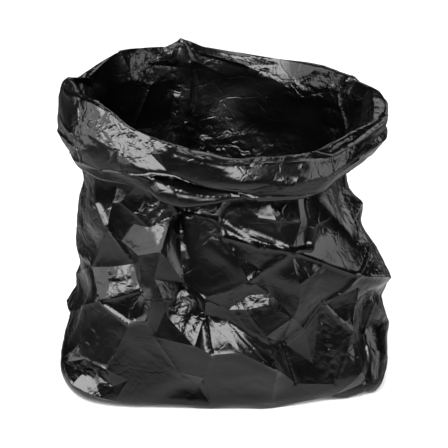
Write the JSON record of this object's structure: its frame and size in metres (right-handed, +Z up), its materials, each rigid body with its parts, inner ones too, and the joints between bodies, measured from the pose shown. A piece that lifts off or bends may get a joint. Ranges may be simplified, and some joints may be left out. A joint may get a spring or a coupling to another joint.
{
  "type": "open bin bag",
  "caption": "Open, empty black polythene bin bag standing on its welded base, with its mouth turned outward into a rolled cuff.",
  "frame": {"origin": "middle of the footprint of the bag's box, on the floor that the bag stands on", "axes": "+X to the bag's right, along its widest side; +Y to the back, where the mouth stands higher; +Z up"},
  "size_m": [0.516, 0.461, 0.4854],
  "materials": {
    "black_film": "glossy black polythene film, crumpled and creased all over"
  },
  "bodies": {
    "root": {"bin_bag": "black_film"}
  },
  "joints": []
}
